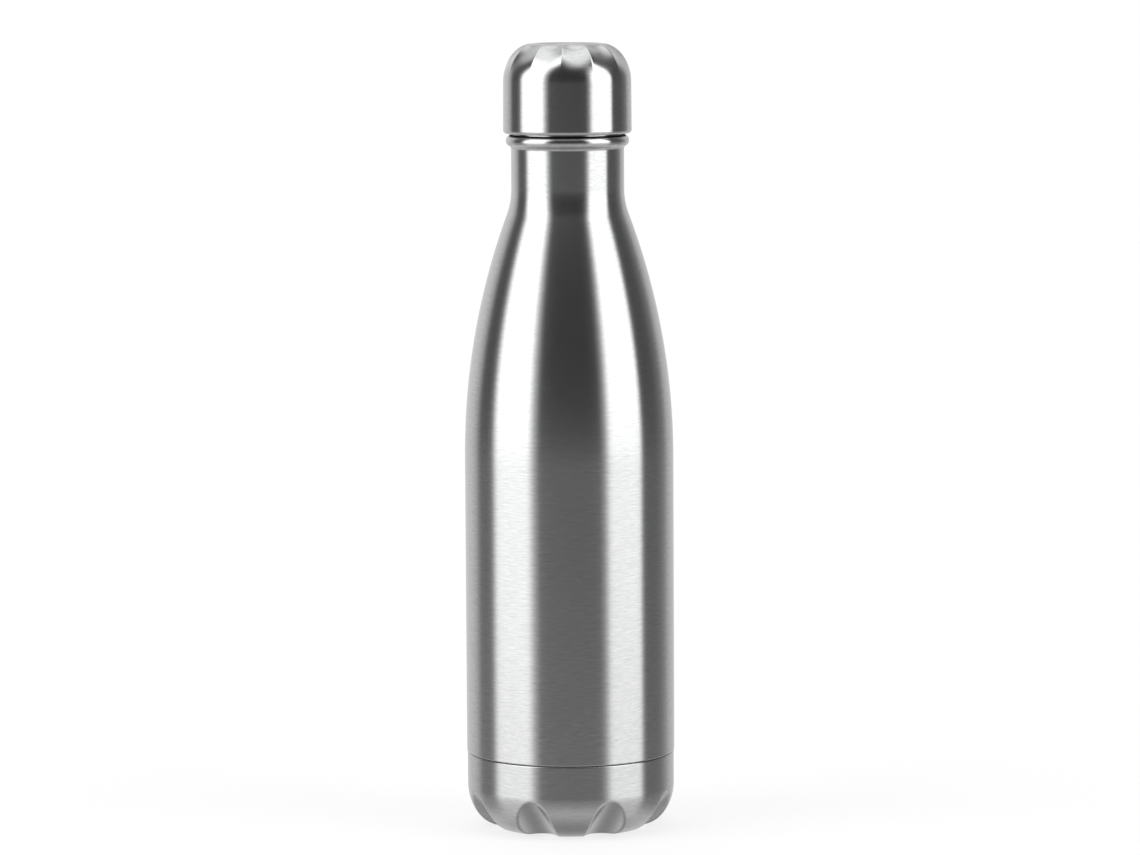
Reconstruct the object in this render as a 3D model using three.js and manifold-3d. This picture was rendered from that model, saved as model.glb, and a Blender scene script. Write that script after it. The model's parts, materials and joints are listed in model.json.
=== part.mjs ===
// Insulated water bottle: a double-walled steel flask with a petal-footed base cup and a
// fluted screw cap. Millimetres, +Z up. The bottle's axis is Z and its feet stand on z = 0.
import * as THREE from "three";
import { mergeVertices } from "three/addons/utils/BufferGeometryUtils.js";
import Module from "manifold-3d";

const wasm = await Module();
wasm.setup();

// ---------- driving dimensions ----------
// Outer shell
const BODY_RADIUS = 35;
const BODY_HEIGHT = 125.2; // top of the straight body
const SHOULDER_RADIUS = 233.6; // long arc from the body to the neck
const NECK_FILLET = 25;
const NECK_RADIUS = 18.87;
const NECK_LENGTH = 16; // end of the fillet to the middle of the bead
const BEAD_SECTION = 2; // radius of the rolled bead
const BEAD_PROUD = 1.73; // how far the bead stands out of the neck
const BEAD_FILLET = 1.2; // hollow rounding between the neck and the bead
const LIP_STEP = 0.57; // how far the lip lies inside the neck's surface
const LIP_HEIGHT = 7.2; // middle of the bead to the rim
const LIP_ROUNDING = 1.2;
const SHELL_WALL = 0.45;
const EDGE_ROUNDING = 0.3; // folded edges at the seam
// Liner and its rolled thread
const LINER_WALL = 0.4;
const VACUUM_GAP = 2.2; // between shell and liner along the body
const NECK_GAP = 2.77; // between shell and liner in the neck
const LINER_FILLET = 22;
const LINER_SPLIT_HEIGHT = 27; // weld between the liner and its bottom
const LINER_CORNER = 6;
const LINER_PUNT = 3.5; // rise in the middle of the liner's bottom
const LINER_PUNT_RADIUS = 10; // flat top of that rise
const FOIL_WALL = 0.1;
const FOIL_END_INSET = 4; // foil stops this short of the liner's straight part
// Thread between neck and plug
const THREAD_LEAD = 4.5;
const THREAD_DEPTH = 1.35;
const THREAD_LENGTH = 12.4;
const THREAD_START = 1.8; // rim to the top of the thread
const THREAD_CLEARANCE = 0.4; // radial
// Base cup
const SEAM_HEIGHT = 25.6;
const CUP_STEP = 0.2; // how far the cup lies inside the body's surface
const CUP_WALL = 0.5;
const CUP_EDGE_WIDTH = 11.7; // rounded lower edge, measured along the radius
const CUP_EDGE_HEIGHT = 14.5;
const FOOT_RING_WIDTH = 3.1; // flat ground ring
const CUP_RECESS = 2.6; // hollow in the middle of the underside
const FOOT_COUNT = 8;
const SCOOP_RADIUS = 7;
const SCOOP_TOP = 13.2; // height where a scoop starts
const SCOOP_REACH = 2.6; // how far a scoop cuts into the ground ring
// Vacuum base, seal bead and getter
const SKIRT_LENGTH = 11.6; // shell skirt inside the cup
const BASE_WALL = 0.45;
const BASE_FLANGE = 2.4;
const BASE_CORNER = 1;
const PUMP_HOLE_RADIUS = 1.2;
const PUMP_RECESS_RADIUS = 5;
const PUMP_RECESS_DEPTH = 2;
const PUMP_RECESS_SLOPE = 1; // width of the recess's sloped side
const BEAD_GLASS_RADIUS = 3.6;
const BEAD_GLASS_HEIGHT = 1.3;
const GETTER_RADIUS = 4.5;
const GETTER_HEIGHT = 1.4;
const GETTER_OFFSET = 15;
const HOLDER_WALL = 0.3;
// Cap
const CAP_PROUD = 0.77; // how far the cap stands out past the bead
const CAP_FLARE = 0.1; // how much wider the cap is at its lower edge
const CAP_HEIGHT = 29.95;
const CAP_OVERLAP = 4.85; // how far the cap comes down past the rim
const CAP_SHELL_WALL = 0.45;
const CAP_DOME_WIDTH = 10.1;
const CAP_DOME_HEIGHT = 12.8;
const CAP_RIM_ROUNDING = 1.2;
const CAP_DISH = 1; // recess in the middle of the top
const CAP_DISH_WIDTH = 3; // slope between the crest and the flat of the dish
const FLUTE_COUNT = 12;
const FLUTE_DEPTH = 0.9;
const FLUTE_TURN = -5; // degrees from -Y to the nearest ridge
const FLUTE_FOOT = 10; // where on the dome a flute starts, in degrees up its ellipse
const FLUTE_FULL = 50; // where it is at its full depth
const FLUTE_FADE = 72; // where it starts to fade again
const CORE_WALL = 1.3;
const PLUG_WALL = 1.8;
const PLUG_LENGTH = 19; // rim to the plug's end
const PLUG_END_THICKNESS = 1.6;
const SEAL_THICKNESS = 2;
const SEAL_OVERHANG = 0.3; // how far the seal reaches past the flat of the rim
const SEAL_BEVEL = 0.5;
const CORE_DOME_FROM = 10; // part of the dome that the core follows, in degrees
const CORE_DOME_TO = 60;
// Fits
const FIT_GAP = 0.15; // between pieces that are welded, pressed or bonded together
const SEAM_GAP = 0.3; // open line between shell and cup
const CAP_LIP_GAP = 1; // round the lip, inside the cap

// Facets round the axis
const SHELL_FACETS = 36;
const CAP_FACETS = 72; // a multiple of FLUTE_COUNT
const INNER_FACETS = 28;
const SMALL_FACETS = 20;
const CUTTER_FACETS = 24;
const CUTTER_RUN = 1.8; // length of a cutter against the height it cuts
const ROWS_PER_TURN = 5; // rings of facets in one turn of the thread
// Facets along the outlines
const SHOULDER_STEPS = 5;
const FILLET_STEPS = 3;
const BEAD_STEPS = 5;
const LIP_STEPS = 2;
const DOME_STEPS = 10;
const CUP_EDGE_STEPS = 6;
const CORNER_STEPS = 3;

// ---------- derived levels and radii ----------
const shoulderCentreR = BODY_RADIUS - SHOULDER_RADIUS;
const neckStart = neckFilletHeight(0, NECK_RADIUS, NECK_FILLET);
const beadHeight = neckStart + NECK_LENGTH;
const beadCentreR = NECK_RADIUS + BEAD_PROUD - BEAD_SECTION;
const beadFilletR = NECK_RADIUS + BEAD_FILLET;
const beadFilletDrop = Math.sqrt(
  (BEAD_SECTION + BEAD_FILLET) ** 2 - (beadFilletR - beadCentreR) ** 2);
const rimHeight = beadHeight + LIP_HEIGHT;
const linerInset = SHELL_WALL + VACUUM_GAP;
const linerNeckR = NECK_RADIUS - SHELL_WALL - NECK_GAP;
const boreR = linerNeckR - LINER_WALL;
const lipR = NECK_RADIUS - LIP_STEP;
const cupR = BODY_RADIUS - CUP_STEP;
const capR = NECK_RADIUS + BEAD_PROUD + CAP_PROUD;
const linerBodyR = BODY_RADIUS - linerInset;
const skirtR = cupR - CUP_WALL - FIT_GAP;
const skirtBottom = SEAM_HEIGHT - SKIRT_LENGTH;
const cupTop = SEAM_HEIGHT - SEAM_GAP;
const threadTop = rimHeight - THREAD_START;
const threadBottom = threadTop - THREAD_LENGTH;
const plugR = boreR - THREAD_DEPTH - THREAD_CLEARANCE;
const cavityR = plugR - PLUG_WALL;
const plugBottom = rimHeight - PLUG_LENGTH;
const sealBottom = rimHeight + FIT_GAP;
const sealTop = sealBottom + SEAL_THICKNESS;
const flangeHeight = sealTop + FIT_GAP;
const capBottom = rimHeight - CAP_OVERLAP;
const capTop = capBottom + CAP_HEIGHT;
const domeBottom = capTop - CAP_DOME_HEIGHT;
const coreR = capR - CAP_SHELL_WALL - FIT_GAP;
const crownR = capR - CAP_DOME_WIDTH - CAP_DISH_WIDTH;
const crown = capTop - CAP_DISH - CAP_SHELL_WALL - FIT_GAP;
const plugThreadEnd = plugBottom + PLUG_END_THICKNESS;
const footRingR = cupR - CUP_EDGE_WIDTH;
const basePlate = skirtBottom + BASE_FLANGE;

// ---------- outline helpers ----------
const at = (r, z) => new THREE.Vector2(r, z);

// Points on an ellipse about (r, z), from one angle to another in degrees.
function arc(r, z, radiusR, radiusZ, from, to, steps) {
  const curve = new THREE.EllipseCurve(
    r, z, radiusR, radiusZ,
    THREE.MathUtils.degToRad(from), THREE.MathUtils.degToRad(to), to < from,
  );
  return curve.getPoints(steps);
}

// Height of the middle of the fillet that joins the shoulder arc to a neck.
function neckFilletHeight(inset, neckR, fillet) {
  const across = neckR + fillet - shoulderCentreR;
  const apart = SHOULDER_RADIUS - inset + fillet;
  return BODY_HEIGHT + Math.sqrt(apart * apart - across * across);
}

// Shoulder arc and neck fillet of a wall that lies `inset` inside the outer surface.
function shoulderPoints(inset, neckR, fillet) {
  const filletZ = neckFilletHeight(inset, neckR, fillet);
  const turn = THREE.MathUtils.radToDeg(
    Math.atan2(filletZ - BODY_HEIGHT, neckR + fillet - shoulderCentreR),
  );
  const r = SHOULDER_RADIUS - inset;
  return [
    ...arc(shoulderCentreR, BODY_HEIGHT, r, r, 0, turn, SHOULDER_STEPS),
    ...arc(neckR + fillet, filletZ, fillet, fillet, 180 + turn, 180, FILLET_STEPS).slice(1),
  ];
}

// A solid of revolution about Z. The outline runs from axis to axis or closes on itself.
function turned(points, facets) {
  const geometry = new THREE.LatheGeometry(points, facets);
  geometry.rotateX(Math.PI / 2);
  return geometry;
}

// A closed wall between an outer and an inner outline, both given from bottom to top.
function wall(outer, inner) {
  return [...outer, ...inner.slice().reverse(), outer[0].clone()];
}

function toSolid(geometry) {
  const bare = geometry.clone();
  bare.deleteAttribute("normal");
  bare.deleteAttribute("uv");
  const merged = mergeVertices(bare, 1e-4);
  const mesh = new wasm.Mesh({
    numProp: 3,
    vertProperties: merged.attributes.position.array,
    triVerts: new Uint32Array(merged.index.array),
  });
  return new wasm.Manifold(mesh);
}

function toGeometry(solid) {
  const mesh = solid.getMesh();
  const geometry = new THREE.BufferGeometry();
  geometry.setAttribute("position", new THREE.BufferAttribute(mesh.vertProperties, 3));
  geometry.setIndex(new THREE.BufferAttribute(mesh.triVerts, 1));
  return geometry;
}

// Cylinders round the axis, each leaning in its own upright plane. Its innermost line passes
// through `point` (r, z) along `along`, and its body lies on the side of `outward`.
function leaningCutters(count, firstAngle, radius, point, along, outward, extra) {
  const centre = point.clone().addScaledVector(outward, radius);
  const lean = Math.atan2(along.x, along.y);
  const length = along.length();
  const cutters = [];
  for (let i = 0; i < count; i += 1) {
    const cylinder = new THREE.CylinderGeometry(
      radius + extra, radius + extra, length, CUTTER_FACETS);
    cylinder.rotateX(Math.PI / 2);
    cylinder.rotateY(lean);
    cylinder.translate(centre.x, 0, centre.y);
    cylinder.rotateZ(firstAngle + (i * 2 * Math.PI) / count);
    cutters.push(toSolid(cylinder));
  }
  return cutters;
}

function carve(solid, cutters) {
  return cutters.reduce((left, cutter) => left.subtract(cutter), solid);
}

// Presses a helical ridge into the wall whose vertices lie between two heights and two radii.
// `ridge` is how far the crest moves, negative towards the axis; `phase` shifts the helix.
function rollThread(geometry, [bottom, top], [lowR, highR], ridge, phase) {
  const fade = THREAD_LEAD / 4;
  const position = geometry.attributes.position;
  for (let i = 0; i < position.count; i += 1) {
    const [x, y, z] = [position.getX(i), position.getY(i), position.getZ(i)];
    const radius = Math.hypot(x, y);
    if (radius < lowR || radius > highR || z <= bottom || z >= top) continue;
    const helix = (2 * Math.PI * (z - threadTop)) / THREAD_LEAD - Math.atan2(y, x) + phase;
    const ends = THREE.MathUtils.smoothstep(z, bottom, bottom + fade)
      * (1 - THREE.MathUtils.smoothstep(z, top - fade, top));
    const scale = (radius + ridge * ends * (0.5 + 0.5 * Math.cos(helix))) / radius;
    position.setXY(i, x * scale, y * scale);
  }
  geometry.deleteAttribute("normal");
  return geometry;
}

// Points up a straight wall, close enough together to hold a thread.
function threadPoints(radius, bottom, top) {
  const steps = Math.round((ROWS_PER_TURN * (top - bottom)) / THREAD_LEAD);
  return Array.from({ length: steps + 1 }, (_, i) =>
    at(radius, bottom + ((top - bottom) * i) / steps));
}

// ---------- flask ----------
// Surface of the outer shell, moved inwards by `inset`.
function shellOutline(inset) {
  const neckR = NECK_RADIUS - inset;
  const bead = BEAD_SECTION - inset;
  const fillet = BEAD_FILLET + inset;
  const beadFrom = THREE.MathUtils.radToDeg(
    Math.atan2(beadFilletDrop, beadFilletR - beadCentreR));
  const beadTo = THREE.MathUtils.radToDeg(
    Math.acos((lipR - inset - beadCentreR) / bead));
  const curl = LIP_ROUNDING - inset;
  return [
    at(skirtR - inset, skirtBottom),
    at(skirtR - inset, SEAM_HEIGHT - EDGE_ROUNDING / 2 + inset),
    at(BODY_RADIUS - EDGE_ROUNDING - inset, SEAM_HEIGHT + inset),
    at(BODY_RADIUS - inset, SEAM_HEIGHT + EDGE_ROUNDING + inset),
    ...shoulderPoints(inset, neckR, NECK_FILLET + inset),
    ...arc(beadFilletR, beadHeight - beadFilletDrop, fillet, fillet,
      180, 180 - beadFrom, LIP_STEPS).slice(0, -1),
    ...arc(beadCentreR, beadHeight, bead, bead, -beadFrom, beadTo, BEAD_STEPS),
    ...arc(lipR - LIP_ROUNDING, rimHeight - LIP_ROUNDING, curl, curl, 0, 90, LIP_STEPS),
    at(linerNeckR + FIT_GAP, rimHeight - inset),
  ];
}

function outerShell() {
  return turned(wall(shellOutline(0), shellOutline(SHELL_WALL)), SHELL_FACETS);
}

function linerOutline(inset) {
  return [
    at(linerBodyR - inset, LINER_SPLIT_HEIGHT),
    ...shoulderPoints(linerInset + inset, linerNeckR - inset, LINER_FILLET + inset),
    ...threadPoints(linerNeckR - inset, threadBottom, threadTop),
    at(linerNeckR - inset, rimHeight),
  ];
}

function liner() {
  const blank = turned(wall(linerOutline(0), linerOutline(LINER_WALL)), INNER_FACETS);
  const band = [boreR - LINER_WALL, linerNeckR + LINER_WALL];
  return rollThread(blank, [threadBottom, threadTop], band, -THREAD_DEPTH, 0);
}

// A dished pan, butt-welded to the liner's lower edge.
function linerBottom() {
  const top = LINER_SPLIT_HEIGHT - FIT_GAP;
  const floor = top - LINER_CORNER;
  const pan = (inset) => [
    at(0, floor + LINER_PUNT + inset),
    at(LINER_PUNT_RADIUS, floor + LINER_PUNT + inset),
    ...arc(linerBodyR - LINER_CORNER, floor + LINER_CORNER,
      LINER_CORNER - inset, LINER_CORNER - inset, -90, 0, CORNER_STEPS),
  ];
  return turned([...pan(0), ...pan(LINER_WALL).reverse()], INNER_FACETS);
}

function copperFoil() {
  const inner = linerBodyR + FIT_GAP;
  const bottom = LINER_SPLIT_HEIGHT + FOIL_END_INSET;
  const top = BODY_HEIGHT - FOIL_END_INSET;
  const side = (r) => [at(r, bottom), at(r, top)];
  return turned(wall(side(inner + FOIL_WALL), side(inner)), INNER_FACETS);
}

// Inverted pan welded inside the shell's skirt, with a recess round the pump-out hole.
function vacuumBase() {
  const flangeR = skirtR - SHELL_WALL - FIT_GAP;
  const face = (inset) => [
    at(PUMP_HOLE_RADIUS, basePlate + PUMP_RECESS_DEPTH - inset),
    at(PUMP_RECESS_RADIUS - inset, basePlate + PUMP_RECESS_DEPTH - inset),
    at(PUMP_RECESS_RADIUS + PUMP_RECESS_SLOPE - inset, basePlate - inset),
    at(flangeR - BASE_CORNER, basePlate - inset),
    at(flangeR - inset, basePlate - BASE_CORNER),
    at(flangeR - inset, skirtBottom),
  ];
  return turned(wall(face(BASE_WALL), face(0)), SHELL_FACETS);
}

// Drop of glass melted over the pump-out hole, from below.
function solderGlass() {
  const top = basePlate + PUMP_RECESS_DEPTH - BASE_WALL - FIT_GAP;
  return turned([
    at(0, top - BEAD_GLASS_HEIGHT),
    ...arc(0, top, BEAD_GLASS_RADIUS, BEAD_GLASS_HEIGHT, -90, 0, CORNER_STEPS).slice(1),
    at(0, top),
  ], SMALL_FACETS);
}

function getterHolder() {
  const floor = HOLDER_WALL;
  const inner = GETTER_RADIUS + FIT_GAP;
  const outer = inner + HOLDER_WALL;
  return turned([
    at(0, 0),
    at(outer, 0),
    at(outer, GETTER_HEIGHT),
    at(inner, GETTER_HEIGHT),
    at(inner, floor),
    at(0, floor),
  ], SMALL_FACETS);
}

function getterPellet() {
  const pellet = new THREE.CylinderGeometry(
    GETTER_RADIUS, GETTER_RADIUS, GETTER_HEIGHT, SMALL_FACETS);
  return pellet.rotateX(Math.PI / 2);
}

// ---------- base cup ----------
// Filled form of the cup, moved inwards by `inset`: a rounded edge down to a ground ring,
// and a shallow recess inside the ring.
function cupForm(inset) {
  const ringR = footRingR - FOOT_RING_WIDTH;
  const mitre = inset * Math.tan(Math.PI / 8); // the recess has a 45 degree side
  return toSolid(turned([
    at(0, CUP_RECESS + inset),
    at(ringR - CUP_RECESS + mitre, CUP_RECESS + inset),
    at(ringR + mitre, inset),
    ...arc(footRingR, CUP_EDGE_HEIGHT, CUP_EDGE_WIDTH - inset, CUP_EDGE_HEIGHT - inset,
      -90, 0, CUP_EDGE_STEPS),
    at(cupR - inset, cupTop - EDGE_ROUNDING),
    at(cupR - inset - EDGE_ROUNDING, cupTop),
    at(0, cupTop),
  ], SHELL_FACETS));
}

// Scoops between the feet: leaning cylinders whose deepest line runs from the side to the ring.
function scoopCutters(extra) {
  const top = at(cupR, SCOOP_TOP);
  const exit = at(footRingR - SCOOP_REACH, 0);
  const along = top.clone().sub(exit);
  const outward = at(along.y, -along.x).normalize();
  const middle = top.clone().lerp(exit, 0.5);
  const firstAngle = -Math.PI / 2 + Math.PI / FOOT_COUNT;
  return leaningCutters(
    FOOT_COUNT, firstAngle, SCOOP_RADIUS, middle, along.multiplyScalar(CUTTER_RUN), outward, extra);
}

function baseCup() {
  const outside = carve(cupForm(0), scoopCutters(0));
  const inside = carve(cupForm(CUP_WALL), scoopCutters(CUP_WALL));
  const cavityTop = new THREE.CylinderGeometry(
    cupR - CUP_WALL, cupR - CUP_WALL, CUP_EDGE_HEIGHT, SHELL_FACETS);
  cavityTop.rotateX(Math.PI / 2);
  cavityTop.translate(0, 0, SEAM_HEIGHT);
  return toGeometry(outside.subtract(inside).subtract(toSolid(cavityTop)));
}

// ---------- cap ----------
// Surface of the cap's steel shell from its hem to the axis, moved inwards by `inset`.
function capOutline(inset) {
  const hemR = capR + CAP_FLARE - CAP_RIM_ROUNDING;
  const crestR = capR - CAP_DOME_WIDTH;
  const rim = CAP_RIM_ROUNDING - inset;
  return [
    ...arc(hemR, capBottom + CAP_RIM_ROUNDING, rim, rim, -90, 0, CORNER_STEPS),
    ...arc(crestR, domeBottom, CAP_DOME_WIDTH - inset, CAP_DOME_HEIGHT - inset,
      0, 90, DOME_STEPS),
    at(crestR - CAP_DISH_WIDTH, capTop - CAP_DISH - inset),
    at(0, capTop - CAP_DISH - inset),
  ];
}

// Presses flutes into the dome. A vertex moves inwards along the dome's normal, furthest in the
// middle of a flute and not at all on the ridges between flutes.
function pressFlutes(geometry) {
  const { degToRad, radToDeg, smoothstep } = THREE.MathUtils;
  const crestR = capR - CAP_DOME_WIDTH;
  const ridge = degToRad(FLUTE_TURN - 90);
  const pitch = (2 * Math.PI) / FLUTE_COUNT;
  const position = geometry.attributes.position;
  for (let i = 0; i < position.count; i += 1) {
    const [x, y, z] = [position.getX(i), position.getY(i), position.getZ(i)];
    const radius = Math.hypot(x, y);
    const across = (radius - crestR) / CAP_DOME_WIDTH;
    const up = (z - domeBottom) / CAP_DOME_HEIGHT;
    const climb = radToDeg(Math.atan2(up, across));
    if (climb <= FLUTE_FOOT || climb >= 90) continue;
    const turn = (Math.atan2(y, x) - ridge) / pitch;
    const beside = 2 * (turn - Math.floor(turn)) - 1;
    const depth = FLUTE_DEPTH * (1 - beside * beside)
      * smoothstep(climb, FLUTE_FOOT, FLUTE_FULL) * (1 - smoothstep(climb, FLUTE_FADE, 90));
    const push = at(across / CAP_DOME_WIDTH, up / CAP_DOME_HEIGHT).setLength(depth);
    const scale = (radius - push.x) / radius;
    position.setXYZ(i, x * scale, y * scale, z - push.y);
  }
  geometry.deleteAttribute("normal");
  return geometry;
}

function capShell() {
  const blank = turned([...capOutline(CAP_SHELL_WALL).reverse(), ...capOutline(0)], CAP_FACETS);
  return pressFlutes(blank);
}

// Hollow of the cap's core, from the axis down to the plug, moved inwards by `gap`.
function cavityPoints(gap) {
  const chamberR = coreR - CORE_WALL - gap;
  return [
    at(0, crown - CORE_WALL - gap),
    at(crownR, crown - CORE_WALL - gap),
    at(chamberR, domeBottom - gap),
    at(chamberR, flangeHeight + CORE_WALL + gap),
    at(cavityR - gap, flangeHeight + CORE_WALL + gap),
  ];
}

// Moulded core: a cup that fills the shell, and a threaded plug open at its lower end.
function capCore() {
  const skirtInnerR = lipR + CAP_LIP_GAP;
  const skirtEnd = capBottom + CAP_RIM_ROUNDING;
  const domeInset = CAP_SHELL_WALL + FLUTE_DEPTH + FIT_GAP;
  const blank = turned([
    ...cavityPoints(0),
    at(cavityR, plugBottom),
    at(plugR, plugBottom),
    ...threadPoints(plugR, plugThreadEnd, threadTop),
    at(plugR, flangeHeight),
    at(skirtInnerR, flangeHeight),
    at(skirtInnerR, skirtEnd),
    at(coreR, skirtEnd),
    at(coreR, domeBottom),
    ...arc(capR - CAP_DOME_WIDTH, domeBottom, CAP_DOME_WIDTH - domeInset,
      CAP_DOME_HEIGHT - domeInset, CORE_DOME_FROM, CORE_DOME_TO, CORNER_STEPS),
    at(crownR, crown),
    at(0, crown),
  ], INNER_FACETS);
  const band = [plugR - PLUG_WALL / 2, plugR + PLUG_WALL / 2];
  return rollThread(blank, [plugThreadEnd, threadTop], band, THREAD_DEPTH, Math.PI);
}

// Foam that fills the hollow, foamed in place through the plug.
function capFoam() {
  const bottom = plugBottom + PLUG_END_THICKNESS + FIT_GAP;
  return turned([
    ...cavityPoints(FIT_GAP),
    at(cavityR - FIT_GAP, bottom),
    at(0, bottom),
  ].reverse(), INNER_FACETS);
}

// Disc welded into the open end of the plug.
function plugEnd() {
  const r = cavityR - FIT_GAP;
  const disc = new THREE.CylinderGeometry(r, r, PLUG_END_THICKNESS, INNER_FACETS);
  disc.rotateX(Math.PI / 2);
  return disc.translate(0, 0, plugBottom + PLUG_END_THICKNESS / 2);
}

function capSeal() {
  const inner = plugR + FIT_GAP;
  const outer = lipR + SEAL_OVERHANG;
  return turned([
    at(inner, sealBottom),
    at(outer - SEAL_BEVEL, sealBottom),
    at(outer, sealBottom + SEAL_BEVEL),
    at(outer, sealTop - SEAL_BEVEL),
    at(outer - SEAL_BEVEL, sealTop),
    at(inner, sealTop),
    at(inner, sealBottom),
  ], INNER_FACETS);
}

// ---------- assembly ----------
const finish = (color, roughness, metalness) =>
  new THREE.MeshStandardMaterial({ color, roughness, metalness });
const brushedSteel = finish(0xb4b6b8, 0.3, 1);
const plainSteel = finish(0x9fa1a3, 0.4, 1);
const copper = finish(0xb5693f, 0.3, 1);
const moulding = finish(0x1f2022, 0.45, 0);
const silicone = finish(0xdedcd6, 0.5, 0);
const foam = finish(0xf0eee6, 0.9, 0);
const glass = finish(0x6a6f5c, 0.1, 0);
const getterMetal = finish(0x55524d, 0.8, 0.6);

function piece(name, geometry, material) {
  const mesh = new THREE.Mesh(geometry, material);
  mesh.name = name;
  return mesh;
}

const flask = new THREE.Group();
flask.add(
  piece("outer_shell", outerShell(), brushedSteel),
  piece("liner", liner(), plainSteel),
  piece("liner_bottom", linerBottom(), plainSteel),
  piece("copper_foil", copperFoil(), copper),
  piece("vacuum_base", vacuumBase(), plainSteel),
  piece("solder_glass", solderGlass(), glass),
  piece("base_cup", baseCup(), brushedSteel),
);

const getter = new THREE.Group();
getter.position.set(GETTER_OFFSET, 0, basePlate + FIT_GAP);
const pellet = piece("getter_pellet", getterPellet(), getterMetal);
pellet.position.z = HOLDER_WALL + FIT_GAP + GETTER_HEIGHT / 2;
getter.add(piece("getter_holder", getterHolder(), plainSteel), pellet);
flask.add(getter);

const cap = new THREE.Group();
cap.add(
  piece("cap_shell", capShell(), brushedSteel),
  piece("cap_core", capCore(), moulding),
  piece("cap_foam", capFoam(), foam),
  piece("plug_end", plugEnd(), moulding),
  piece("cap_seal", capSeal(), silicone),
);

const bottle = new THREE.Group();
bottle.add(flask, cap);
export default bottle;
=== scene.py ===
"""Insulated water bottle: double-walled steel flask, petal-footed base cup, fluted screw cap.

Metres, +Z up, the bottle's axis on Z and its feet on z = 0. The file follows the bottle as it
is put together: flask from the outside in, base, cap, then the studio.
"""
import json
import math

import bmesh
import bpy
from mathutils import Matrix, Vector

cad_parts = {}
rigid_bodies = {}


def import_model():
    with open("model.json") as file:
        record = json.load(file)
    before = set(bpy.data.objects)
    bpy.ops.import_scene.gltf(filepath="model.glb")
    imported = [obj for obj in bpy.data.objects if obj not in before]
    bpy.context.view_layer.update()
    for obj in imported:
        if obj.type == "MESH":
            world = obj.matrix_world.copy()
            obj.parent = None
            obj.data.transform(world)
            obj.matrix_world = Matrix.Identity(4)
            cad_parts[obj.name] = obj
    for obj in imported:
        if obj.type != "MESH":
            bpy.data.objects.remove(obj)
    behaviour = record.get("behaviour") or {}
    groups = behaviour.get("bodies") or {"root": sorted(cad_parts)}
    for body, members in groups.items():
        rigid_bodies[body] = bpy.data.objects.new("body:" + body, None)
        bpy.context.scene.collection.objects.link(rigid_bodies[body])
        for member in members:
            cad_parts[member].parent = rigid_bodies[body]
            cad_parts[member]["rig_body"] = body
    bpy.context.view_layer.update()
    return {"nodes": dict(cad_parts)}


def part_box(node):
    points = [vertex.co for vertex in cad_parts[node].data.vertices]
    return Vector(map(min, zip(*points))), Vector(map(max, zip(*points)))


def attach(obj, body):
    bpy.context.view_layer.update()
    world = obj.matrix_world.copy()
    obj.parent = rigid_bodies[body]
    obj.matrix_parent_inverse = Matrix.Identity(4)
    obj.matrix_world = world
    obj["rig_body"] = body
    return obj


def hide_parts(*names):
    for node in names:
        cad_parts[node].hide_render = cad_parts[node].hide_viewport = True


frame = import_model()


# ---- Outer shell ----
# Stainless tube, swaged down to the neck and rolled to a bead under the lip. Its lower end is
# stepped in to a skirt that the base cup slides over. Brushed round and round on a mandrel.

shell_low, shell_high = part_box("outer_shell")
body_r = shell_high.x
rim_z = shell_high.z
skirt_bottom = shell_low.z
cup_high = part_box("base_cup")[1]
seam_gap = 0.0003
seam_z = cup_high.z + seam_gap
skirt_r = cup_high.x - 0.00065
shell_wall = 0.00045
body_top = 0.1252
shoulder_r = 0.2336
neck_r = 0.01887
neck_fillet = 0.025
bead_r = 0.002
bead_proud = 0.00173
bead_fillet = 0.0012
lip_r = neck_r - 0.00057
lip_rounding = 0.0012
bead_z = rim_z - 0.0072
liner_neck_r = 0.01565
fit_gap = 0.00015
fold_r = 0.0003


def arc(r, z, radius_r, radius_z, start, end, steps):
    """Points of an ellipse about (r, z), between two angles in degrees."""
    points = []
    for i in range(steps + 1):
        angle = math.radians(start + (end - start) * i / steps)
        points.append((r + radius_r * math.cos(angle), z + radius_z * math.sin(angle)))
    return points


def line(start, end, steps):
    """Points after start on the straight line to end."""
    return [tuple(a + (b - a) * i / steps for a, b in zip(start, end)) for i in range(1, steps + 1)]


def shoulder(inset, low_neck_r, fillet, steps):
    """The long arc and the neck fillet of a wall that lies inset inside the outer surface."""
    centre_r = body_r - shoulder_r
    across = low_neck_r + fillet - centre_r
    up = math.sqrt((shoulder_r - inset + fillet) ** 2 - across**2)
    turn = math.degrees(math.atan2(up, across))
    long_arc = arc(centre_r, body_top, shoulder_r - inset, shoulder_r - inset, 0, turn, steps)
    tight_arc = arc(low_neck_r + fillet, body_top + up, fillet, fillet, 180 + turn, 180, 16)
    return long_arc + tight_arc[1:]


def held(points):
    """The points, with one more close to each end of a run that is long beside its neighbour."""
    points = [Vector(point) for point in points]
    runs = [(after - before).length for before, after in zip(points, points[1:])]
    hold = 0.00015
    result = [points[0]]
    for i, length in enumerate(runs):
        start, end = points[i], points[i + 1]
        if i > 0 and runs[i - 1] < length / 4:
            result.append(start.lerp(end, min(hold / length, 0.2)))
        if i + 1 < len(runs) and runs[i + 1] < length / 4:
            result.append(end.lerp(start, min(hold / length, 0.2)))
        result.append(end)
    return result


def softened(points, radius):
    """The points with every corner rounded."""
    points = [Vector(point) for point in points]
    result = [points[0]]
    for before, here, after in zip(points, points[1:], points[2:]):
        reach = min(radius, (here - before).length * 0.45, (after - here).length * 0.45)
        start = here + (before - here).normalized() * reach
        end = here + (after - here).normalized() * reach
        for t in (0, 0.2, 0.4, 0.6, 0.8, 1):
            result.append(start.lerp(here, t).lerp(here.lerp(end, t), t))
    result.append(points[-1])
    return result


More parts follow.
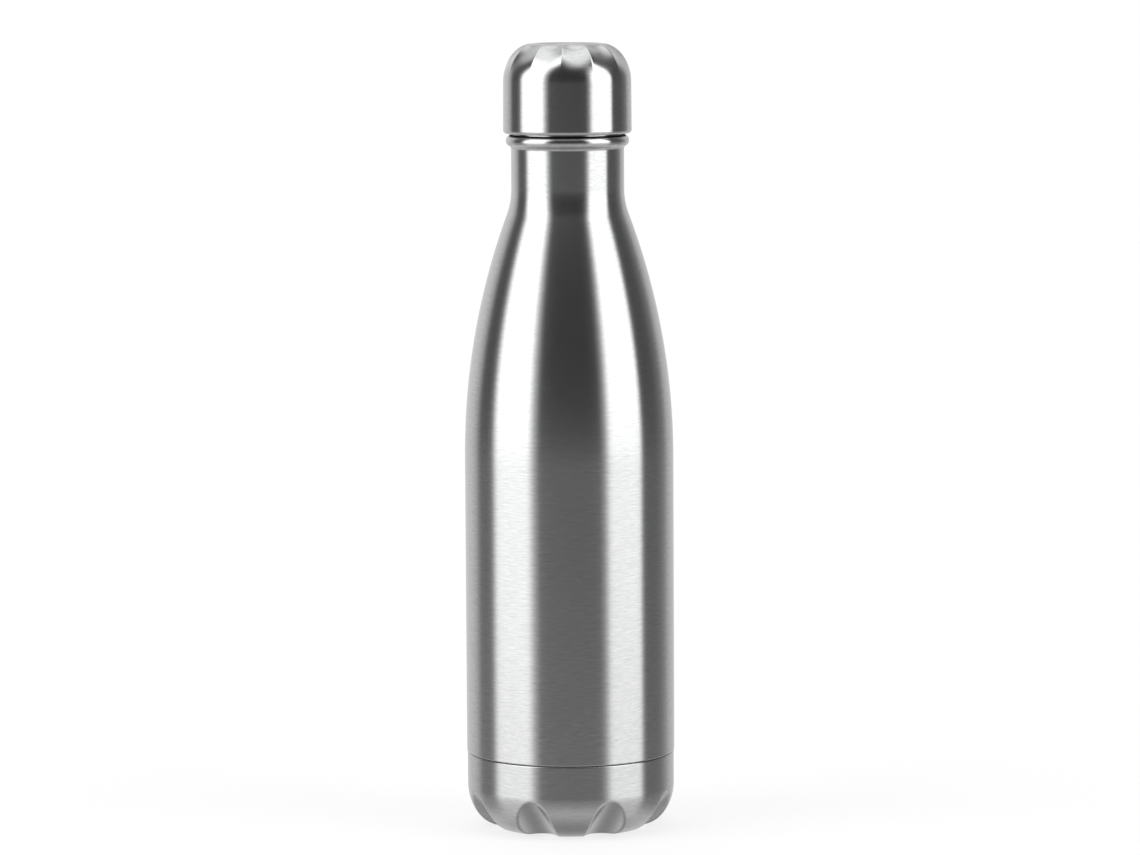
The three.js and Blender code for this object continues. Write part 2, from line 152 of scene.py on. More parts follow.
def turned(outside, inside=(), facets=256):
    """A mesh turned about Z. The outline is closed where it doesn't start and end on the axis.

    Each vertex keeps, as its depth, 1 on the inside of a wall and 0 elsewhere.
    """
    bm = bmesh.new()
    depth = bm.verts.layers.float.new("depth")
    ring = []
    inside = held(inside)[::-1] if inside else []
    for points, value in ((held(outside), 0.0), (inside, 1.0)):
        for r, z in points:
            vert = bm.verts.new((r, 0, z))
            vert[depth] = value
            ring.append(vert)
    pairs = list(zip(ring, ring[1:]))
    if ring[0].co.x > 1e-6 or ring[-1].co.x > 1e-6:
        pairs.append((ring[-1], ring[0]))
    edges = [bm.edges.new(pair) for pair in pairs]
    bmesh.ops.spin(
        bm, geom=ring + edges, cent=(0, 0, 0), axis=(0, 0, 1), angle=2 * math.pi,
        steps=facets, use_merge=True,
    )
    bmesh.ops.remove_doubles(bm, verts=bm.verts, dist=1e-7)
    bmesh.ops.recalc_face_normals(bm, faces=bm.faces)
    return bm


def finished(bm, name, node, material, sharp=40):
    """Makes the mesh an object that stands for a CAD node and rides where the node rode."""
    mesh = bpy.data.meshes.new(name)
    bm.to_mesh(mesh)
    bm.free()
    mesh.shade_smooth()
    mesh.set_sharp_from_angle(angle=math.radians(sharp))
    mesh.materials.append(material)
    piece = bpy.data.objects.new(name, mesh)
    bpy.context.scene.collection.objects.link(piece)
    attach(piece, frame["nodes"][node]["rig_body"])
    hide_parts(node)
    return piece


def adder(tree):
    """A function that adds a node to a tree and sets or links its inputs in order."""

    def add(kind, *inputs, **settings):
        node = tree.nodes.new("ShaderNode" + kind)
        for key, value in settings.items():
            setattr(node, key, value)
        for i, value in enumerate(inputs):
            if isinstance(value, bpy.types.NodeSocket):
                tree.links.new(value, node.inputs[i])
            elif value is not None:
                node.inputs[i].default_value = value
        return node

    return add


def new_material(name):
    """An empty material with its shader, and a function that adds and links nodes."""
    material = bpy.data.materials.new(name)
    material.use_nodes = True
    nodes = material.node_tree.nodes
    nodes.clear()
    shader = nodes.new("ShaderNodeBsdfPrincipled")
    output = nodes.new("ShaderNodeOutputMaterial")
    material.node_tree.links.new(shader.outputs[0], output.inputs[0])

    add = adder(material.node_tree)

    def link(source, target):
        material.node_tree.links.new(source, target)

    return material, shader, add, link


def noise_of(add, vector, scale, detail, roughness=0.5):
    """A grey noise, from 0 to 1, on a vector."""
    texture = add("TexNoise")
    texture.inputs["Scale"].default_value = scale
    texture.inputs["Detail"].default_value = detail
    texture.inputs["Roughness"].default_value = roughness
    texture.id_data.links.new(vector, texture.inputs["Vector"])
    return texture.outputs["Fac"]


def two_tone(add, value, low, dark, high, pale):
    """A colour that is dark where the value is low and pale where it is high."""
    node = add("ValToRGB", value)
    stops = node.color_ramp.elements
    for stop, place, colour in ((stops[0], low, dark), (stops[1], high, pale)):
        stop.position = place
        stop.color = (*colour, 1)
    return node.outputs[0]


def raised(shader, add, link, height, strength, distance):
    """Fine relief on the surface, distance high."""
    bump = add("Bump", strength, distance)
    link(height, bump.inputs["Height"])
    link(bump.outputs[0], shader.inputs["Normal"])


def spread(add, value, low, high):
    """A noise's middle half stretched over low to high."""
    node = add("MapRange", value, 0.3, 0.7, low, high)
    return node.outputs[0]


def brushed_steel(name, rise, grey, gloss):
    """Steel brushed round the axis. rise is how brush lines climb with the radius: -1 or 1."""
    material, shader, add, link = new_material(name)
    place = add("TexCoord").outputs["Object"]
    split = add("SeparateXYZ", place)
    flat = add("CombineXYZ", split.outputs[0], split.outputs[1], 0.0)
    radius = add("VectorMath", flat.outputs[0], operation="LENGTH").outputs["Value"]
    heading = add("VectorMath", flat.outputs[0], operation="NORMALIZE").outputs[0]
    along = add("Math", radius, rise, split.outputs[2], operation="MULTIPLY_ADD").outputs[0]

    def lines(around, per_metre, detail, roughness):
        turn = add("VectorMath", heading, (around, around, 0), operation="MULTIPLY").outputs[0]
        height = add("Math", along, per_metre, operation="MULTIPLY").outputs[0]
        height = add("CombineXYZ", 0.0, 0.0, height).outputs[0]
        vector = add("VectorMath", turn, height, operation="ADD").outputs[0]
        return noise_of(add, vector, 1.0, detail, roughness)

    hairs = lines(16.0, 5200, 2.0, 0.6)
    strokes = lines(8.0, 2300, 2.0, 0.55)
    clouds = noise_of(add, place, 28.0, 2.0)
    both = add("Math", hairs, strokes, operation="ADD").outputs[0]
    tone = add("MapRange", both, 0.7, 1.3, 0.9, 1.08).outputs[0]
    tone = add("Math", tone, spread(add, clouds, 0.985, 1.01), operation="MULTIPLY").outputs[0]
    colour = add("VectorMath", (grey, grey * 1.004, grey * 1.008), tone, operation="SCALE")
    link(tone, colour.inputs["Scale"])
    link(colour.outputs[0], shader.inputs["Base Color"])
    link(spread(add, clouds, gloss * 0.97, gloss * 1.03), shader.inputs["Roughness"])
    shader.inputs["Metallic"].default_value = 1.0
    shader.inputs["Anisotropic"].default_value = 0.85
    shader.inputs["Anisotropic Rotation"].default_value = 0.25
    tangent = add("Tangent", direction_type="RADIAL", axis="Z")
    link(tangent.outputs[0], shader.inputs["Tangent"])
    raised(shader, add, link, both, 0.05, 0.000004)
    return material


def shell_outline(inset, steps):
    neck = neck_r - inset
    section = bead_r - inset
    bead_mid = neck_r + bead_proud - bead_r
    fillet_r = neck_r + bead_fillet
    drop = math.sqrt((bead_r + bead_fillet) ** 2 - (fillet_r - bead_mid) ** 2)
    low = math.degrees(math.atan2(drop, fillet_r - bead_mid))
    high = math.degrees(math.acos((lip_r - inset - bead_mid) / section))
    curl = lip_rounding - inset
    fold = max(fold_r - inset, 0.00002)
    return [
        (skirt_r - inset, skirt_bottom),
        (skirt_r - inset, seam_z - fold_r + inset),
        *arc(body_r - inset - fold, seam_z + fold + inset, fold, fold, -90, 0, 6),
        *shoulder(inset, neck, neck_fillet + inset, steps),
        *arc(fillet_r, bead_z - drop, bead_fillet + inset, bead_fillet + inset, 180, 180 - low, 12),
        *arc(bead_mid, bead_z, section, section, -low, high, 28)[1:],
        *arc(lip_r - lip_rounding, rim_z - lip_rounding, curl, curl, 0, 90, 10),
        (liner_neck_r + fit_gap, rim_z - inset),
    ]


shell_steel = brushed_steel("brushed steel, shell", -1.0, 0.62, 0.22)
shell_mesh = turned(shell_outline(0, 64), shell_outline(shell_wall, 24))
finished(shell_mesh, "outer_shell_brushed", "outer_shell", shell_steel)


# ---- Liner ----
# Inner wall of the vacuum, drawn and then necked from one tube of thinner stainless steel. The
# plug's thread is rolled into its neck. Its mouth is welded to the shell's lip.

liner_wall = 0.0004
vacuum_gap = 0.0022
liner_fillet = 0.022
split_z = 0.027
thread_lead = 0.0045
thread_depth = 0.00135
thread_length = 0.0124
thread_top = rim_z - 0.0018
thread_bottom = thread_top - thread_length
liner_body_r = body_r - shell_wall - vacuum_gap


def thread(bm, bottom, top, low_r, high_r, ridge, phase):
    """Presses a right-handed helical ridge into the wall between two heights and two radii."""
    for vert in bm.verts:
        radius = math.hypot(vert.co.x, vert.co.y)
        if not (low_r < radius < high_r and bottom < vert.co.z < top):
            continue
        turn = 2 * math.pi * (vert.co.z - thread_top) / thread_lead
        turn += phase - math.atan2(vert.co.y, vert.co.x)
        fade = thread_lead / 4
        run_in = min((vert.co.z - bottom) / fade, (top - vert.co.z) / fade, 1)
        run_in = run_in * run_in * (3 - 2 * run_in)
        scale = 1 + ridge * run_in * (0.5 + 0.5 * math.cos(turn)) / radius
        vert.co.x *= scale
        vert.co.y *= scale


def liner_outline(inset, steps):
    neck = liner_neck_r - inset
    return [
        (liner_body_r - inset, split_z),
        *shoulder(shell_wall + vacuum_gap + inset, neck, liner_fillet + inset, steps),
        *line((neck, thread_bottom - 0.001), (neck, thread_top + 0.001), 100),
        (neck, rim_z),
    ]


def plain_steel(name, grey, roughness, grain):
    """Steel as it leaves the press: faint drawing lines up the wall and a dull, cloudy polish."""
    material, shader, add, link = new_material(name)
    place = add("TexCoord").outputs["Object"]
    stretch = add("VectorMath", place, (grain, grain, grain / 12), operation="MULTIPLY")
    drawn = noise_of(add, stretch.outputs[0], 1.0, 3.0)
    clouds = noise_of(add, place, 60.0, 3.0)
    specks = noise_of(add, place, 3500.0, 1.0)
    tone = add("Math", spread(add, drawn, 0.93, 1.03), spread(add, clouds, 0.95, 1.03),
               operation="MULTIPLY").outputs[0]
    colour = add("VectorMath", (grey, grey, grey * 1.01), operation="SCALE")
    link(tone, colour.inputs["Scale"])
    link(colour.outputs[0], shader.inputs["Base Color"])
    link(spread(add, clouds, roughness * 0.85, roughness * 1.2), shader.inputs["Roughness"])
    shader.inputs["Metallic"].default_value = 1.0
    both = add("Math", drawn, specks, operation="ADD").outputs[0]
    raised(shader, add, link, both, 0.3, 0.00001)
    return material


liner_mesh = turned(liner_outline(0, 40), liner_outline(liner_wall, 40))
thread(liner_mesh, thread_bottom, thread_top, liner_neck_r - 2 * liner_wall,
       liner_neck_r + liner_wall, -thread_depth, 0)
liner_steel = plain_steel("drawn steel, liner", 0.56, 0.3, 900)
finished(liner_mesh, "liner_rolled_thread", "liner", liner_steel, 50)


# ---- Liner bottom ----
# A dished pan pressed from the liner's steel and butt-welded to its lower edge. The rise in the
# middle stiffens it against the vacuum.

pan_corner = 0.006
liner_floor = split_z - fit_gap - pan_corner
punt = 0.0035
punt_r = 0.01


def pan_outline(inset):
    corner = pan_corner - inset
    rise = softened([
        (0, liner_floor + punt + inset), (punt_r, liner_floor + punt + inset),
        (liner_body_r - pan_corner, liner_floor + inset), (liner_body_r - 0.005, liner_floor + inset),
    ], 0.004)
    return rise[:-1] + arc(liner_body_r - pan_corner, liner_floor + pan_corner, corner, corner, -84, 0, 16)


pan_mesh = turned(pan_outline(0), pan_outline(liner_wall), 200)
pan_steel = plain_steel("pressed steel, liner bottom", 0.54, 0.34, 500)
finished(pan_mesh, "liner_bottom_pan", "liner_bottom", pan_steel, 50)


# ---- Copper foil ----
# One turn of thin copper round the liner inside the vacuum. It throws radiant heat back. It is
# wrapped by hand, so it is lightly creased, and it is browner where it was heated.

foil_low, foil_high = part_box("copper_foil")
foil_wall = 0.0001
foil_out = [(foil_high.x, foil_low.z), (foil_high.x, foil_high.z)]
foil_in = [(foil_high.x - foil_wall, foil_low.z), (foil_high.x - foil_wall, foil_high.z)]
foil_mesh = turned(foil_out, foil_in, 200)
copper, shader, add, link = new_material("copper foil")
place = add("TexCoord").outputs["Object"]
heat = noise_of(add, place, 35.0, 4.0, 0.6)
creases = add("TexVoronoi", feature="DISTANCE_TO_EDGE")
creases.inputs["Scale"].default_value = 90.0
link(place, creases.inputs["Vector"])
crease = add("MapRange", creases.outputs["Distance"], 0.0, 0.12, 0.0, 1.0).outputs[0]
tint = two_tone(add, heat, 0.35, (0.5, 0.2, 0.11), 0.62, (0.9, 0.45, 0.29))
link(tint, shader.inputs["Base Color"])
link(spread(add, heat, 0.36, 0.2), shader.inputs["Roughness"])
shader.inputs["Metallic"].default_value = 1.0
raised(shader, add, link, crease, 0.4, 0.00004)
finished(foil_mesh, "copper_foil_wrap", "copper_foil", copper)


# ---- Vacuum base ----
# Inverted steel pan welded inside the shell's skirt. It closes the vacuum. The small hole in its
# recess is where the air is pumped out.

base_low, base_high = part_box("vacuum_base")
base_plate = skirt_bottom + 0.0024
base_corner = 0.001
hole_r = 0.0012
pump_r = 0.005
pump_rise = 0.002
base_wall = 0.00045


def base_outline(inset):
    return softened([
        (hole_r, base_plate + pump_rise - inset),
        (pump_r - inset, base_plate + pump_rise - inset),
        (pump_r + 0.001 - inset, base_plate - inset),
        (base_high.x - base_corner, base_plate - inset),
        (base_high.x - inset, base_plate - base_corner),
        (base_high.x - inset, base_low.z),
    ], 0.0007)


base_mesh = turned(base_outline(0), base_outline(base_wall), 200)
base_steel = plain_steel("pressed steel, vacuum base", 0.5, 0.4, 400)
finished(base_mesh, "vacuum_base_pan", "vacuum_base", base_steel, 50)


# ---- Solder glass ----
# A drop of solder glass. It melts over the pump-out hole in the vacuum furnace and seals it.

drop_low, drop_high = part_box("solder_glass")
drop_height = drop_high.z - drop_low.z
drop_mesh = turned([
    *arc(0, drop_high.z, drop_high.x, drop_height, -90, 0, 24), (0, drop_high.z)], (), 96)
glass, shader, add, link = new_material("solder glass")
place = add("TexCoord").outputs["Object"]
cloud = noise_of(add, place, 500.0, 3.0)
bubbles = add("TexVoronoi")
bubbles.inputs["Scale"].default_value = 1400.0
link(place, bubbles.inputs["Vector"])
tint = two_tone(add, cloud, 0.35, (0.07, 0.08, 0.05), 0.65, (0.17, 0.18, 0.12))
link(tint, shader.inputs["Base Color"])
link(spread(add, cloud, 0.06, 0.18), shader.inputs["Roughness"])
shader.inputs["IOR"].default_value = 1.7
raised(shader, add, link, bubbles.outputs["Distance"], 0.15, 0.00003)
finished(drop_mesh, "solder_glass_drop", "solder_glass", glass)


# ---- Getter ----
# A sintered metal pellet that soaks up the last gas in the vacuum, pressed into a small steel
# cup. The cup is spot-welded to the vacuum base, off the bottle's axis.


def shifted(bm, x):
    bmesh.ops.translate(bm, verts=bm.verts, vec=(x, 0, 0))
    return bm


holder_low, holder_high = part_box("getter_holder")
holder_x = (holder_low.x + holder_high.x) / 2
holder_r = (holder_high.x - holder_low.x) / 2
holder_wall = 0.0003
floor_z = holder_low.z + holder_wall
holder_out = softened([(0, holder_low.z), (holder_r, holder_low.z), (holder_r, holder_high.z)], 0.0003)
holder_in = softened([(0, floor_z), (holder_r - holder_wall, floor_z),
                      (holder_r - holder_wall, holder_high.z)], 0.00015)
holder_mesh = shifted(turned(holder_out, holder_in, 96), holder_x)
holder_steel = plain_steel("pressed steel, getter holder", 0.52, 0.33, 1500)
finished(holder_mesh, "getter_holder_cup", "getter_holder", holder_steel, 50)

pellet_low, pellet_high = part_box("getter_pellet")
pellet_r = (pellet_high.x - pellet_low.x) / 2
pellet_mesh = shifted(turned(softened([
    (0, pellet_low.z), (pellet_r, pellet_low.z), (pellet_r, pellet_high.z), (0, pellet_high.z),
], 0.0002), (), 96), holder_x)
sintered, shader, add, link = new_material("sintered getter")
place = add("TexCoord").outputs["Object"]
grains = add("TexVoronoi")
grains.inputs["Scale"].default_value = 5200.0
link(place, grains.inputs["Vector"])
patches = noise_of(add, place, 700.0, 4.0, 0.6)
tint = two_tone(add, patches, 0.3, (0.06, 0.055, 0.05), 0.7, (0.15, 0.14, 0.13))
link(tint, shader.inputs["Base Color"])
link(spread(add, patches, 0.85, 0.65), shader.inputs["Roughness"])
shader.inputs["Metallic"].default_value = 0.6
raised(shader, add, link, grains.outputs["Distance"], 0.6, 0.00003)
finished(pellet_mesh, "getter_pellet_sintered", "getter_pellet", sintered)


# ---- Base cup ----
# Pressed steel cup with petal feet: the press leaves a scoop between each two feet. It slides
# over the shell's skirt and is glued there, with a fine open line at the seam.

cup_r = cup_high.x
cup_top = cup_high.z
cup_wall = 0.0005
cup_edge_width = 0.0117
cup_edge_height = 0.0145
ring_width = 0.0031
recess = 0.0026
foot_count = 8
scoop_radius = 0.007
scoop_top = 0.0132
scoop_reach = 0.0026
ring_outer_r = cup_r - cup_edge_width


def cup_outline(inset, steps):
    ring_inner_r = ring_outer_r - ring_width
    mitre = inset * math.tan(math.pi / 8)
    inner_slope = (ring_inner_r - recess + mitre, recess + inset)
    ring_start = (ring_inner_r + mitre, inset)
    edge = arc(ring_outer_r, cup_edge_height, cup_edge_width - inset, cup_edge_height - inset,
               -90, 0, steps)
    fold = max(fold_r - inset, 0.00002)
    return [
        (0, recess + inset),
        *line((0, recess + inset), inner_slope, 6),
        *line(inner_slope, ring_start, 6),
        *line(ring_start, edge[0], steps // 5),
        *edge[1:],
        *arc(cup_r - inset - fold, cup_top - fold, fold, fold, 0, 90, 6),
    ]


cup_mesh = turned(cup_outline(0, 90), cup_outline(cup_wall, 30), 400)
scoop_exit = ring_outer_r - scoop_reach
run = Vector((cup_r - scoop_exit, scoop_top)).normalized()
scoop_out = Vector((run.y, -run.x))
sector = 2 * math.pi / foot_count
edge_softness = 0.0004
in_wall = cup_mesh.verts.layers.float["depth"]
for vert in cup_mesh.verts:
    radius = math.hypot(vert.co.x, vert.co.y)
    around = math.atan2(vert.co.y, vert.co.x) + math.pi / 2
    middle = (math.floor(around / sector) + 0.5) * sector
    beside = radius * math.sin(around - middle)
    forward = radius * math.cos(around - middle)
    reach = scoop_radius + cup_wall * vert[in_wall]
    if abs(beside) >= reach or forward <= 0:
        continue
    proud = (forward - scoop_exit) * scoop_out.x + vert.co.z * scoop_out.y
    travel = proud - scoop_radius + math.sqrt(reach * reach - beside * beside)
    if travel <= -edge_softness:
        continue
    if travel < edge_softness:
        travel = (travel + edge_softness) ** 2 / (4 * edge_softness)
    heading = middle - math.pi / 2
    vert.co.x -= travel * scoop_out.x * math.cos(heading)
    vert.co.y -= travel * scoop_out.x * math.sin(heading)
    vert.co.z -= travel * scoop_out.y
cup_steel = brushed_steel("brushed steel, cup", 1.0, 0.6, 0.22)
finished(cup_mesh, "base_cup_pressed", "base_cup", cup_steel, 60)


# ---- Cap shell ----
# Deep-drawn steel cap with flutes pressed round its shoulder, a shallow dish on top and a
# hemmed lower edge. Brushed like the body.

cap_low, cap_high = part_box("cap_shell")
cap_flare = 0.0001
cap_r = cap_high.x - cap_flare
cap_bottom = cap_low.z
cap_top = cap_high.z
cap_wall = 0.00045
dome_width = 0.0101
dome_height = 0.0128
cap_rim = 0.0012
dish = 0.001
dish_width = 0.003
flute_count = 12
flute_depth = 0.0009
flute_turn = -5
flute_foot, flute_full, flute_fade = 8, 52, 68
crest_r = cap_r - dome_width
dome_z = cap_top - dome_height


def cap_outline(inset, steps):
    hem_r = cap_r + cap_flare - cap_rim
    rim = cap_rim - inset
    dish_r = crest_r - dish_width
    floor = cap_top - dish - inset
    dip = [(crest_r - dish_width * t, cap_top - inset - dish * t * t * (3 - 2 * t))
           for t in (i / 12 for i in range(1, 13))]
    return [
        *arc(hem_r, cap_bottom + cap_rim, rim, rim, -90, 0, 10),
        *arc(crest_r, dome_z, dome_width - inset, dome_height - inset, 0, 90, steps),
        *dip,
        *line((dish_r, floor), (0, floor), 8),
    ]


def ease(value, low, high):
    t = min(max((value - low) / (high - low), 0), 1)
    return t * t * (3 - 2 * t)


cap_mesh = turned(cap_outline(0, 90), cap_outline(cap_wall, 40), 360)
for vert in cap_mesh.verts:
    radius = math.hypot(vert.co.x, vert.co.y)
    across = (radius - crest_r) / dome_width
    up = (vert.co.z - dome_z) / dome_height
    climb = math.degrees(math.atan2(up, across))
    if not flute_foot < climb < 90:
        continue
    turn = (math.degrees(math.atan2(vert.co.y, vert.co.x)) + 90 - flute_turn) * flute_count / 360
    beside = 2 * (turn - math.floor(turn)) - 1
    depth = flute_depth * (1 - beside * beside)
    depth *= ease(climb, flute_foot, flute_full) * (1 - ease(climb, flute_fade, 90))
    push = Vector((across / dome_width, up / dome_height)).normalized() * depth
    vert.co.x *= (radius - push.x) / radius
    vert.co.y *= (radius - push.x) / radius
    vert.co.z -= push.y
cap_steel = brushed_steel("brushed steel, cap", -1.0, 0.62, 0.19)
finished(cap_mesh, "cap_shell_fluted", "cap_shell", cap_steel, 70)


# ---- Cap core ----
# One dark polypropylene moulding, bonded inside the cap shell: a cup that fills the shell, and
# below it the hollow plug with the thread. Its outside has the mould's fine sparked grain.

core_low, core_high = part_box("cap_core")
core_r = core_high.x
plug_bottom = core_low.z
crown_z = core_high.z
core_wall = 0.0013
plug_r = liner_neck_r - liner_wall - thread_depth - 0.0004
cavity_r = plug_r - 0.0018
seal_low, seal_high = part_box("cap_seal")
flange_z = seal_high.z + fit_gap
crown_r = crest_r - dish_width
core_inset = cap_wall + flute_depth + fit_gap
plug_end_low, plug_end_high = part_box("plug_end")


def cavity(gap):
    """Hollow of the core from the axis down to the plug."""
    chamber_r = core_r - core_wall - gap
    shelf = flange_z + core_wall + gap
    return [
        (0, crown_z - core_wall - gap), (crown_r, crown_z - core_wall - gap),
        (chamber_r, dome_z - gap), (chamber_r, shelf), (cavity_r - gap, shelf),
    ]


skirt_in_r = lip_r + 0.001
skirt_end = cap_bottom + cap_rim
thread_start = plug_end_high.z
core_points = [
    *softened([
        *cavity(0), (cavity_r, plug_bottom), (plug_r, plug_bottom), (plug_r, plug_bottom + 0.001),
    ], 0.0005),
    *line((plug_r, plug_bottom + 0.001), (plug_r, thread_top + 0.001), 120),
    *softened([
        (plug_r, thread_top + 0.0012), (plug_r, flange_z), (skirt_in_r, flange_z),
        (skirt_in_r, skirt_end), (core_r, skirt_end), (core_r, dome_z),
    ], 0.0003),
    *arc(crest_r, dome_z, dome_width - core_inset, dome_height - core_inset, 10, 60, 16),
    (crown_r, crown_z), (0, crown_z),
]
core_mesh = turned(core_points, (), 256)
thread(core_mesh, thread_start, thread_top, plug_r - 0.0009, plug_r + 0.0009, thread_depth, math.pi)


def moulded(name, colour, roughness):
    """Moulded plastic: fine sparked grain, and a faint cloudiness from the melt's flow."""
    material, shader, add, link = new_material(name)
    place = add("TexCoord").outputs["Object"]
    grain = noise_of(add, place, 4500.0, 2.0)
    flow = noise_of(add, place, 120.0, 3.0)
    tone = spread(add, flow, 0.85, 1.15)
    tinted = add("VectorMath", colour, operation="SCALE")
    link(tone, tinted.inputs["Scale"])
    link(tinted.outputs[0], shader.inputs["Base Color"])
    link(spread(add, flow, roughness * 0.85, roughness * 1.1), shader.inputs["Roughness"])
    raised(shader, add, link, grain, 0.25, 0.00002)
    return material


core_plastic = moulded("moulded plastic, core", (0.022, 0.023, 0.025), 0.42)
finished(core_mesh, "cap_core_moulding", "cap_core", core_plastic)


# ---- Plug end ----
# Disc of the same plastic, welded into the open end of the plug once the foam is in. A groove
# runs round inside the weld, and the mould's gate leaves a shallow dimple in the middle.

end_r = plug_end_high.x
groove_r = end_r - 0.0016
groove = 0.0003
end_mesh = turned(softened([
    (0, plug_end_low.z + groove), (0.0014, plug_end_low.z + groove),
    (0.002, plug_end_low.z), (groove_r - 0.0005, plug_end_low.z),
    (groove_r, plug_end_low.z + groove), (groove_r + 0.0005, plug_end_low.z),
    (end_r, plug_end_low.z), (end_r, plug_end_high.z), (0, plug_end_high.z),
], 0.0002), (), 160)
end_plastic = moulded("moulded plastic, plug end", (0.024, 0.025, 0.027), 0.38)
finished(end_mesh, "plug_end_disc", "plug_end", end_plastic)


# ---- Cap foam ----
# Rigid foam, blown in through the plug. It fills the core's hollow and keeps the heat in.

foam_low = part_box("cap_foam")[0]
foam_mesh = turned(softened([
    *cavity(fit_gap), (cavity_r - fit_gap, foam_low.z), (0, foam_low.z),
], 0.0006), (), 128)
foam, shader, add, link = new_material("rigid foam")
place = add("TexCoord").outputs["Object"]
cells = add("TexVoronoi")
cells.inputs["Scale"].default_value = 1800.0
link(place, cells.inputs["Vector"])
age = noise_of(add, place, 90.0, 3.0)
tint = two_tone(add, age, 0.3, (0.72, 0.66, 0.5), 0.7, (0.86, 0.83, 0.72))
link(tint, shader.inputs["Base Color"])
link(spread(add, age, 0.85, 0.95), shader.inputs["Roughness"])
raised(shader, add, link, cells.outputs["Distance"], 0.7, 0.0001)
finished(foam_mesh, "cap_foam_fill", "cap_foam", foam)


# ---- Cap seal ----
# Silicone ring pushed over the plug up to the flange. The bottle's lip presses into it.

seal_mid = (seal_low.z + seal_high.z) / 2
seal_in_r = plug_r + fit_gap
seal_out_r = seal_high.x
seal_bevel = 0.0005
seal_mesh = turned([*softened([
    (seal_in_r, seal_mid), (seal_in_r, seal_low.z), (seal_out_r - seal_bevel, seal_low.z),
    (seal_out_r, seal_low.z + seal_bevel), (seal_out_r, seal_high.z - seal_bevel),
    (seal_out_r - seal_bevel, seal_high.z), (seal_in_r, seal_high.z), (seal_in_r, seal_mid),
], 0.0003)][:-1], (), 200)
silicone, shader, add, link = new_material("silicone")
place = add("TexCoord").outputs["Object"]
bloom = noise_of(add, place, 250.0, 3.0)
matt = noise_of(add, place, 3000.0, 1.0)
tint = two_tone(add, bloom, 0.3, (0.62, 0.61, 0.57), 0.7, (0.74, 0.73, 0.69))
link(tint, shader.inputs["Base Color"])
link(spread(add, bloom, 0.42, 0.55), shader.inputs["Roughness"])
raised(shader, add, link, matt, 0.2, 0.00001)
finished(seal_mesh, "cap_seal_ring", "cap_seal", silicone)


# ---- Studio ----
# Tall soft lights to the left and the right of the bottle, dark boards beside them and behind
# the camera, a pale wall behind the bottle, a soft light overhead and a pale table below.

world = bpy.data.worlds.new("studio")
bpy.context.scene.world = world
world.use_nodes = True
world.node_tree.nodes.clear()
add = adder(world.node_tree)
direction = add("SeparateXYZ", add("TexCoord").outputs["Generated"])
toward = add("Math", direction.outputs[1], -1.0, operation="MULTIPLY").outputs[0]
azimuth = add("Math", direction.outputs[0], toward, operation="ARCTAN2").outputs[0]
share = add("MapRange", azimuth, -math.pi, math.pi, 0.0, 1.0).outputs[0]


def all_round(levels, brightest=4.0):
    """Radiance by azimuth: degrees from the camera's side, positive to its right, and level."""
    ramp = add("ValToRGB", share)
    stops = ramp.color_ramp.elements
    for i, (degrees, radiance) in enumerate(levels):
        place = (degrees + 180) / 360
        stop = stops[i] if i < 2 else stops.new(place)
        stop.position = place
        stop.color = (radiance / brightest,) * 3 + (1,)
    return add("Math", ramp.outputs[0], brightest, operation="MULTIPLY").outputs[0]


level = all_round([
    (-180, 0.78), (-138, 0.74), (-126, 0.52), (-116, 0.11), (-103, 0.085), (-95, 0.2),
    (-86, 2.0), (-47, 2.1), (-40, 0.65), (-33, 0.055), (-14, 0.036), (20, 0.03), (34, 0.038),
    (40, 0.35), (47, 1.9), (84, 1.95), (89, 0.08), (112, 0.1), (128, 0.22), (142, 0.58), (180, 0.75),
])
low = all_round([
    (-180, 0.7), (-130, 0.6), (-116, 0.36), (-98, 0.34), (-86, 0.7), (-47, 0.7), (-36, 0.36),
    (36, 0.34), (47, 0.66), (86, 0.66), (94, 0.26), (120, 0.28), (140, 0.55), (180, 0.7),
])
ease_in = {"interpolation_type": "SMOOTHSTEP"}
below = add("MapRange", direction.outputs[2], -0.05, -0.27, 0.0, 1.0, **ease_in)
sides = add("Mix", below.outputs[0], None, level, low).outputs[0]
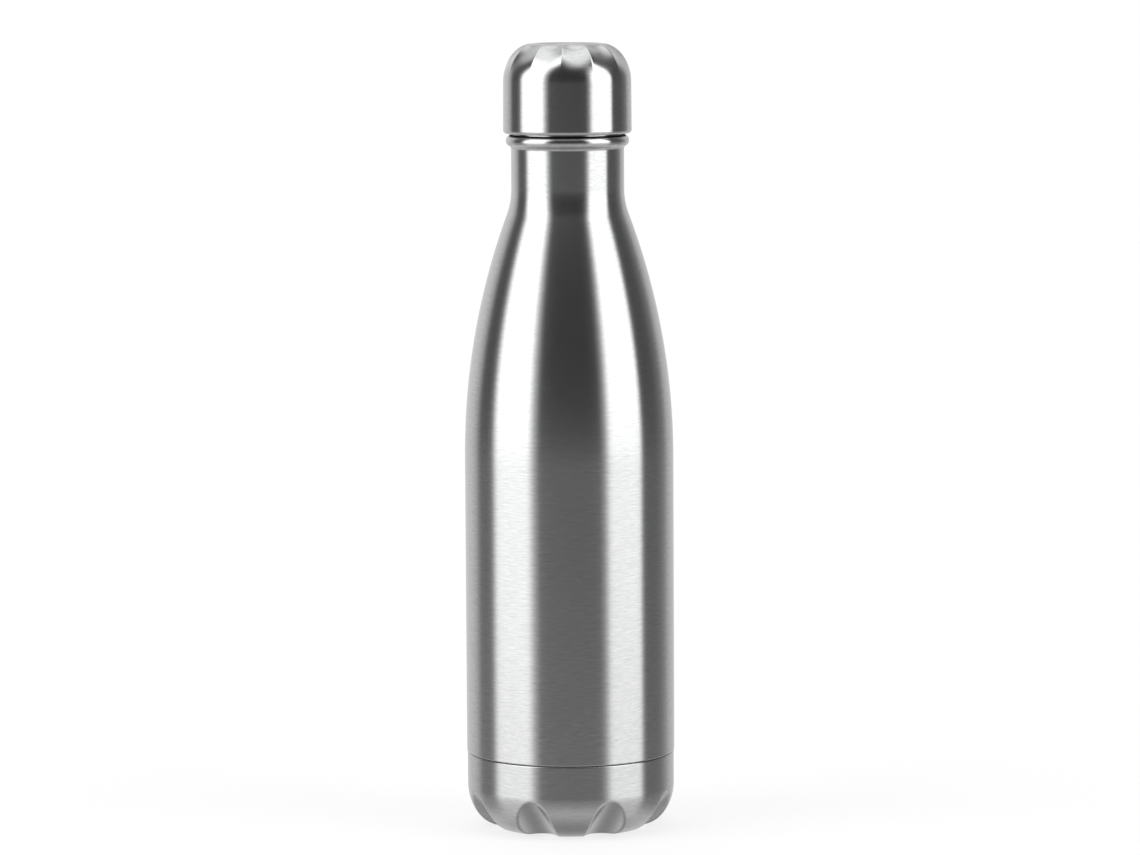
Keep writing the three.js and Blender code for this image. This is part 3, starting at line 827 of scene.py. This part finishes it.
under = add("MapRange", direction.outputs[2], -0.4, -0.75, 0.0, 1.0, **ease_in)
floor_level = add("MapRange", direction.outputs[2], -0.6, -1.0, 0.75, 0.3).outputs[0]
sides = add("Mix", under.outputs[0], None, sides, floor_level).outputs[0]
above = add("MapRange", direction.outputs[2], 0.72, 0.99, 0.0, 1.0, **ease_in)
strength = add("Mix", above.outputs[0], None, sides, 1.3).outputs[0]
light = add("Background", (1, 1, 1, 1), strength)
wall = add("Background", (1, 1, 1, 1), 1.0)
seen = add("LightPath").outputs["Is Camera Ray"]
both = add("MixShader", seen, light.outputs[0], wall.outputs[0])
add("OutputWorld", both.outputs[0])

floor_half = 40.0
bm = bmesh.new()
bmesh.ops.create_grid(bm, x_segments=1, y_segments=1, size=floor_half)
floor_mesh = bpy.data.meshes.new("studio_floor")
bm.to_mesh(floor_mesh)
bm.free()
floor = bpy.data.objects.new("studio_floor", floor_mesh)
bpy.context.scene.collection.objects.link(floor)
paper = bpy.data.materials.new("paper floor")
paper.use_nodes = True
paper.node_tree.nodes.clear()
add = adder(paper.node_tree)
shaded = add("BsdfDiffuse", (0.8, 0.8, 0.8, 1))
glow = add("Emission", (1, 1, 1, 1), 1.17)
sheet = add("MixShader", 0.35, glow.outputs[0], shaded.outputs[0])
seen = add("LightPath").outputs["Is Camera Ray"]
open_below = add("BsdfTransparent")
both = add("MixShader", seen, open_below.outputs[0], sheet.outputs[0])
add("OutputMaterial", both.outputs[0])
floor_mesh.materials.append(paper)

# The camera stands 1.6 m away and looks slightly down with a long lens.
camera_data = bpy.data.cameras.new("camera")
camera_data.lens = 151.8
camera_data.sensor_width = 36.0
camera_data.clip_end = 200.0
camera = bpy.data.objects.new("camera", camera_data)
bpy.context.scene.collection.objects.link(camera)
camera.location = (0.00128, -1.6036, 0.3112)
look_down = math.radians(6.28)
roll = math.radians(0.31)
camera.rotation_euler = (math.pi / 2 - look_down, roll, 0)
bpy.context.scene.camera = camera
bpy.context.scene.view_settings.view_transform = "Standard"
